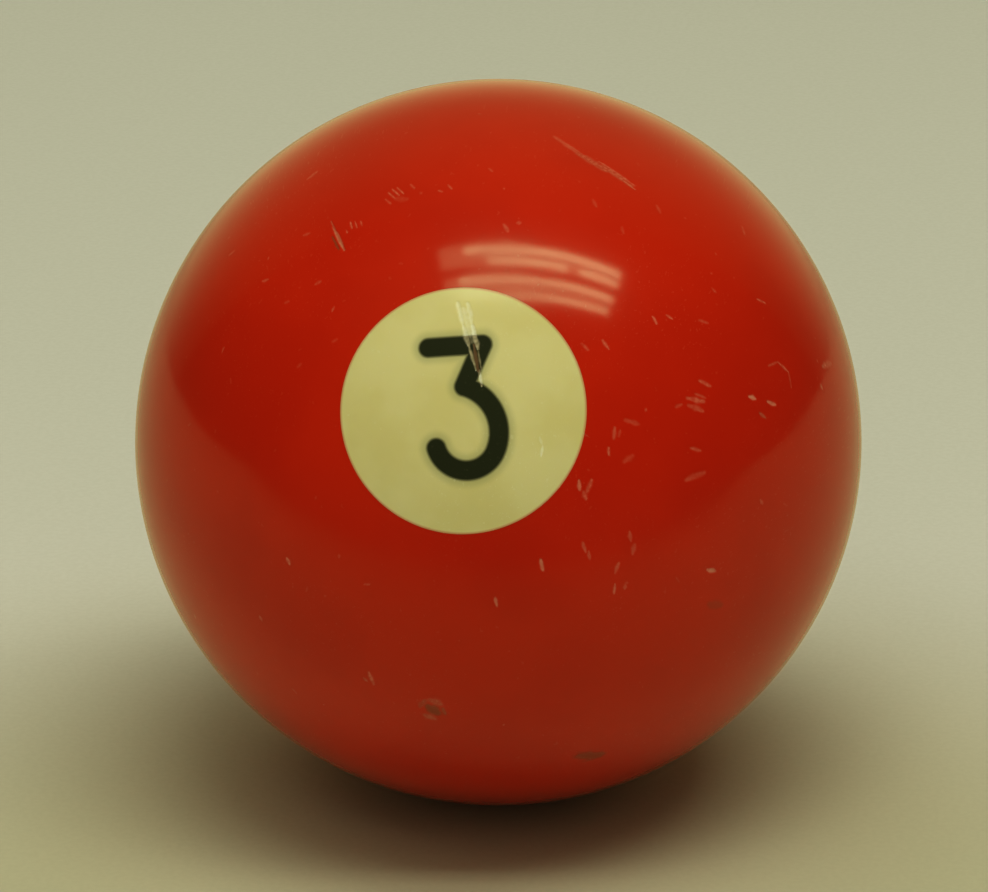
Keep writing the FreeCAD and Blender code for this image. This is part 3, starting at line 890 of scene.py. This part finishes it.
def cream_resin(colours):
    """Slightly glowing cream resin, yellowed unevenly, stained by the numeral's dye."""
    finish = resin("cream_resin")
    finish.set(Specular_Tint=(0.62, 0.66, 0.72, 1), Subsurface_Weight=0.25)
    finish.set(Subsurface_Radius=(1.0, 0.8, 0.4), Subsurface_Scale=0.6 * MM)
    drift = finish.ramp(finish.noise(6.0, detail=3.0), 0.35, 0.65)
    body = finish.mix(drift, colours.cream, colours.aged_cream)
    body = soften_edge(finish, finish.attribute("from_stroke"), body, colours.black, colours.dye)
    rim = finish.ramp(finish.attribute("from_rim"), 0.0, 0.22, 0.5, 0.0)
    body = finish.mix(rim, body, colours.red)
    finish.polish_wear(body, colours.cream_scuff, colours.grime, 0.20, 0.15)
    return finish.material


def black_resin(colours):
    """Near-black dyed resin that fades into the cream at its edge."""
    finish = resin("black_resin")
    body = soften_edge(
        finish, finish.attribute("from_stroke"), colours.cream, colours.black, colours.dye
    )
    finish.polish_wear(body, colours.black_scuff, colours.grime, 0.04, 0.085)
    return finish.material


def dress(piece, material, slot, *nodes):
    """Give a finished piece its material and its body, and hide the designed pieces that it stands
    for.
    """
    piece.data.materials.clear()
    piece.data.materials.append(material)
    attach(piece, BODY)
    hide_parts(*nodes)


# ----------------------------------------
# Operators
# ----------------------------------------


class POOLBALL_OT_cast_ball(bpy.types.Operator):
    """Turn the red ball with its two number pockets, and wear its surface"""

    bl_idname = "poolball.cast_ball"
    bl_label = "Cast Ball"

    def execute(self, context):
        sizes = context.scene.ball_sizes
        side = sizes.spot_radius + sizes.bond_line
        edge = math.sqrt(sizes.radius ** 2 - side ** 2)
        back = sizes.radius - sizes.spot_depth - sizes.bond_line
        corner = sizes.spot_corner + sizes.bond_line
        ball = ball_outline("resin_ball", sizes.radius, BALL_POINTS, -edge, edge)
        for end in (1, -1):
            draw_insert(ball, end, side, end * edge, end * back, corner)
        turn_on_lathe(ball)
        refine_marks(ball, sizes.radius, cuts=6, coarse=0.7 * MM)
        carve_marks(ball, sizes.radius)
        store_wear(ball, sizes.radius)
        lean_into_place(ball, sizes)
        finish_surface(ball)
        dress(ball, red_resin(context.scene.resin_colours), "red_resin", "ball_body")
        return {"FINISHED"}


class POOLBALL_OT_inlay_numbers(bpy.types.Operator):
    """Turn the two cream number spots, and let a black numeral into each"""

    bl_idname = "poolball.inlay_numbers"
    bl_label = "Inlay Numbers"

    def execute(self, context):
        sizes = context.scene.ball_sizes
        numeral = context.scene.numeral_sizes
        colours = context.scene.resin_colours
        cream, black = cream_resin(colours), black_resin(colours)
        line = stroke_line(numeral)
        for side in ("front", "rear"):
            blank = self.turn_blank(sizes)
            stroke = stroke_solid(f"numeral_{side}_stroke", numeral, sizes, 0.0)
            slot = stroke_solid(f"numeral_{side}_slot", numeral, sizes, sizes.bond_line)
            if side == "rear":
                for piece in (blank, stroke, slot):
                    turn(piece, y=math.pi)
            refine_marks(blank, sizes.radius, cuts=3, coarse=0.3 * MM)
            carve_marks(blank, sizes.radius)
            inlay = copy_of(blank, f"black_numeral_{side}")
            combine(inlay, "INTERSECT", stroke)
            call(blank, f"cream_spot_{side}")
            combine(blank, "DIFFERENCE", slot)
            remove(stroke, slot)
            for piece in (blank, inlay):
                store_wear(piece, sizes.radius)
                self.store_distances(piece, line, numeral, sizes, side)
                lean_into_place(piece, sizes)
                finish_surface(piece)
            dress(blank, cream, "cream_resin", f"number_spot_{side}")
            dress(inlay, black, "black_resin", f"numeral_{side}")
        return {"FINISHED"}

    @staticmethod
    def turn_blank(sizes):
        """A number spot with no numeral in it yet."""
        side = sizes.spot_radius
        edge = math.sqrt(sizes.radius ** 2 - side ** 2)
        back = sizes.radius - sizes.spot_depth
        blank = ball_outline("blank", sizes.radius, SPOT_POINTS, edge, 2 * sizes.radius)
        draw_insert(blank, -1, side, edge, back, sizes.spot_corner)
        turn_on_lathe(blank)
        return blank

    @staticmethod
    def store_distances(piece, line, numeral, sizes, side):
        """How far each point is from the stroke's edge, and from the spot's rim, in millimetres."""
        unroll = Matrix.Rotation(-sizes.number_roll, 2)
        across = 1 if side == "front" else -1
        from_stroke, from_rim = [], []
        for vertex in piece.data.vertices:
            flat = Vector((across * vertex.co.x, vertex.co.y))
            away = distance_to_stroke(unroll @ flat, line) - numeral.stroke_width / 2
            from_stroke.append(away / MM)
            from_rim.append((sizes.spot_radius - flat.length) / MM)
        store(piece, "from_stroke", from_stroke)
        store(piece, "from_rim", from_rim)


UP = Vector((0, 0, 1))
FLOOR_SIZE = 12.0
PAPER_LIFT = 0.05 * MM  # the sheet that the ball mirrors lies this far above the floor
SENSOR_WIDTH = 36
SOFT_DISTANCE = 1.3

# The lamps are measured in light heights.  A tube is how far it lies towards the camera, its left
# end and its right end.
TUBES = (
    (0.138, -0.16, 0.655),
    (0.214, -0.05, 0.350),
    (0.214, 0.41, 0.665),
    (0.330, -0.20, 0.670),
    (0.440, -0.20, 0.670),
)
FULL_TUBE = 0.87
TUBE_WIDTH = 0.046
REFLECTORS = (0.176, 0.385)  # how far each lies towards the camera
REFLECTOR_ASIDE = 0.195
REFLECTOR_UP = 1.02
REFLECTOR_LENGTH = 0.97
REFLECTOR_WIDTH = 0.15

# The wall as the ball mirrors it: its outline leans in towards its top.
WALL_LEAN = 0.42
WALL_OUTLINE = 0.57
WALL_EDGE = 0.055  # brightness just inside the outline
WALL_TOP = 0.2  # brightness high up
SEEN_BACKDROP = (0.37, 0.365, 0.27)


class POOLBALL_OT_set_studio(bpy.types.Operator):
    """Lay the pale floor, hang the lights and stand the camera"""

    bl_idname = "poolball.set_studio"
    bl_label = "Set Studio"

    def execute(self, context):
        studio = context.scene.studio_settings
        sizes = context.scene.ball_sizes
        self.lay_floor(studio, sizes)
        self.hang_lights(studio)
        self.light_room(context.scene, studio)
        self.stand_camera(context.scene, studio)
        context.scene.view_settings.view_transform = "Standard"
        context.scene.view_settings.look = "High Contrast"
        return {"FINISHED"}

    @staticmethod
    def directions(studio):
        """The camera's right hand, and the level direction from the ball towards it."""
        turn = studio.azimuth
        right = Vector((math.cos(turn), math.sin(turn), 0))
        towards = Vector((math.sin(turn), -math.cos(turn), 0))
        return right, towards

    def lay_floor(self, studio, sizes):
        """A wide pale floor with a painted shadow under and before the ball.  Reflections see only
        the sheet of paper under the ball, which carries painted shade.
        """
        _, towards = self.directions(studio)
        wide = self.add_sheet("floor", FLOOR_SIZE, Vector((0, 0, -sizes.radius)), 0)
        wide.visible_glossy = False
        near_edge, depth, width = 0.15, 0.46, 1.2
        middle = -towards * (depth / 2 - near_edge)
        middle.z = PAPER_LIFT - sizes.radius
        # painted shade: this sheet is seen only in reflections, where its colour stands in for how
        # the floor and the dim room are lit
        paper = self.add_sheet("paper", 1.0, middle, studio.azimuth)
        paper.scale = (width, depth, 1)
        paper.visible_camera = False
        paper.visible_diffuse = False
        paper.visible_shadow = False
        finishes = (self.floor_paper_painted_shadow(studio, towards), self.mirrored_paper_painted_shade(studio, towards))
        for sheet, material in zip((wide, paper), finishes):
            apply_place(sheet)
            sheet.data.materials.append(material)

    @staticmethod
    def floor_paper_painted_shadow(studio, towards):
        """Matt paper, with a painted shadow that darkens it under the ball and before it."""
        finish = Finish("floor_paper_painted_shadow")
        # painted shadow: a disc of darker paper centred a little before the ball, fading out between
        # 44 and 100 mm
        middle = towards * 34 * MM
        offset = finish.vector_maths("SUBTRACT", finish.place, middle, "Vector")
        away = finish.vector_maths("LENGTH", offset)
        outside = finish.ramp(away, 44 * MM, 100 * MM)
        paper_and_painted_shade = finish.mix(outside, studio.floor_painted_shadow, studio.floor)
        fibres = finish.ramp(finish.noise(0.5, detail=3.0), 0.3, 0.7, 0.985, 1.015)
        paper_and_painted_shade = finish.mix(1.0, paper_and_painted_shade, fibres, blend_type="MULTIPLY")
        finish.join(paper_and_painted_shade, finish.shader.inputs["Base Color"])
        finish.set(Roughness=0.85, Specular_IOR_Level=0.1)
        return finish.material

    @staticmethod
    def mirrored_paper_painted_shade(studio, towards):
        """The same paper as the ball mirrors it, painted in a darker, yellower copy of the floor
        colour, and fading towards the camera into painted shade that stands in for the dim room
        before the ball.
        """
        finish = Finish("mirrored_paper_painted_shade")
        # painted shade: darken the mirrored paper towards the camera, from 30 to 145 mm before the
        # ball
        ahead = finish.vector_maths("DOT_PRODUCT", finish.place, towards)
        paper_and_painted_shade = finish.mix(finish.ramp(ahead, 30 * MM, 145 * MM), studio.mirrored_painted_shade, PAINTED_ROOM_SHADE)
        finish.join(paper_and_painted_shade, finish.shader.inputs["Base Color"])
        finish.set(Roughness=0.85, Specular_IOR_Level=0.1)
        return finish.material

    @staticmethod
    def add_sheet(name, size, middle, turn):
        deselect_all()
        bpy.ops.mesh.primitive_plane_add(size=size, location=middle, rotation=(0, 0, turn))
        sheet = bpy.context.object
        sheet.name = name
        return sheet

    def hang_lights(self, studio):
        """Two lamps with bare tubes, a soft light overhead and a low shadowless fill."""
        right, towards = self.directions(studio)
        height = studio.light_height
        for place, left, end in TUBES:
            middle = (right * (left + end) / 2 + towards * place + UP) * height
            power = studio.tube_power * ((end - left) / FULL_TUBE)
            sides = ((end - left) * height, TUBE_WIDTH * height)
            self.add_light("tube", middle, studio, power, *sides)
        for place in REFLECTORS:
            middle = (right * REFLECTOR_ASIDE + towards * place + UP * REFLECTOR_UP) * height
            sides = (REFLECTOR_LENGTH * height, REFLECTOR_WIDTH * height)
            self.add_light("reflector", middle, studio, studio.reflector_power, *sides)
        self.add_soft_light("soft_overhead", studio, studio.soft_power, 14, -0.22, 1.3)
        fill = self.add_soft_light("front_fill", studio, studio.fill_power, 62, -0.1, 1.0)
        fill.data.use_shadow = False

    def add_soft_light(self, name, studio, power, lean_degrees, aside, size):
        """A large square light that faces the ball, and that the ball doesn't mirror."""
        right, towards = self.directions(studio)
        lean = math.radians(lean_degrees)
        place = towards * math.sin(lean) + UP * math.cos(lean) + right * aside
        light = self.add_light(name, place * SOFT_DISTANCE, studio, power, size, size)
        light.rotation_euler = place.to_track_quat("Z", "Y").to_euler()
        light.visible_glossy = False
        return light

    @staticmethod
    def add_light(name, place, studio, power, along, across):
        """A rectangular light that looks straight down."""
        deselect_all()
        bpy.ops.object.light_add(type="AREA", location=place, rotation=(0, 0, studio.azimuth))
        light = bpy.context.object
        light.name = name
        light.data.shape = "RECTANGLE"
        light.data.size = along
        light.data.size_y = across
        light.data.energy = power
        light.data.color = studio.light_tint
        return light

    def light_room(self, scene, studio):
        """A pale wall behind the ball and a dim room before it; the camera sees only pale."""
        _, towards = self.directions(studio)
        scene.world = bpy.data.worlds.new("room")
        nodes = Nodes(scene.world)
        outlook = nodes.add("ShaderNodeTexCoord").outputs["Generated"]
        height = nodes.vector_maths("DOT_PRODUCT", outlook, UP)
        facing = nodes.vector_maths("DOT_PRODUCT", outlook, -towards + WALL_LEAN * UP)
        inside = nodes.maths("SUBTRACT", facing, WALL_OUTLINE)
        edge = nodes.ramp(inside, -0.02, 0.03, 0.0, WALL_EDGE)
        glow = nodes.ramp(height, -0.1, 0.5, studio.backdrop, WALL_TOP)
        depth = nodes.ramp(inside, 0.0, 0.45)
        beyond_edge = nodes.maths("MULTIPLY", depth, nodes.maths("SUBTRACT", glow, WALL_EDGE))
        wall = nodes.maths("ADD", edge, beyond_edge)
        brightness = nodes.maths("ADD", wall, studio.room)
        tinted = nodes.add("ShaderNodeVectorMath", operation="SCALE")
        tinted.inputs[0].default_value = tuple(studio.wall_tint)
        nodes.join(brightness, tinted.inputs["Scale"])

        seen = nodes.add("ShaderNodeBackground")
        nodes.join(SEEN_BACKDROP, seen.inputs["Color"])
        lit = nodes.add("ShaderNodeBackground")
        nodes.join(tinted.outputs[0], lit.inputs["Color"])
        choose = nodes.add("ShaderNodeMixShader")
        to_camera = nodes.add("ShaderNodeLightPath").outputs["Is Camera Ray"]
        for target, source in enumerate((to_camera, lit.outputs[0], seen.outputs[0])):
            nodes.join(source, choose.inputs[target])
        nodes.join(choose.outputs[0], nodes.add("ShaderNodeOutputWorld").inputs["Surface"])

    def stand_camera(self, scene, studio):
        right, towards = self.directions(studio)
        back = towards * math.cos(studio.elevation) + UP * math.sin(studio.elevation)
        up = back.cross(right)
        aim = -right * studio.aim_left - up * studio.aim_down
        deselect_all()
        bpy.ops.object.camera_add(location=aim + back * studio.distance)
        camera = bpy.context.object
        camera.rotation_euler = back.to_track_quat("Z", "Y").to_euler()
        camera.data.lens = studio.lens
        camera.data.sensor_width = SENSOR_WIDTH
        camera.data.clip_start = 0.01
        scene.camera = camera


class POOLBALL_PT_panel(bpy.types.Panel):
    """Pool ball tools"""

    bl_idname = "POOLBALL_PT_panel"
    bl_label = "Pool Ball"
    bl_space_type = "VIEW_3D"
    bl_region_type = "UI"
    bl_category = "Pool Ball"

    def draw(self, context):
        layout = self.layout
        for operator in OPERATORS:
            layout.operator(operator.bl_idname)
        for name, group in SETTINGS.items():
            box = layout.box()
            box.label(text=group.__doc__)
            for key in group.__annotations__:
                box.prop(getattr(context.scene, name), key)


SETTINGS = {
    "ball_sizes": BallSizes,
    "numeral_sizes": NumeralSizes,
    "resin_colours": ResinColours,
    "studio_settings": StudioSettings,
}
OPERATORS = (POOLBALL_OT_cast_ball, POOLBALL_OT_inlay_numbers, POOLBALL_OT_set_studio)
CLASSES = (*SETTINGS.values(), *OPERATORS, POOLBALL_PT_panel)


def register():
    for item in CLASSES:
        bpy.utils.register_class(item)
    for name, group in SETTINGS.items():
        setattr(bpy.types.Scene, name, PointerProperty(type=group))


def unregister():
    for name in SETTINGS:
        delattr(bpy.types.Scene, name)
    for item in reversed(CLASSES):
        bpy.utils.unregister_class(item)


def main():
    register()
    bpy.ops.poolball.cast_ball()
    bpy.ops.poolball.inlay_numbers()
    bpy.ops.poolball.set_studio()


if __name__ == "__main__":
    main()
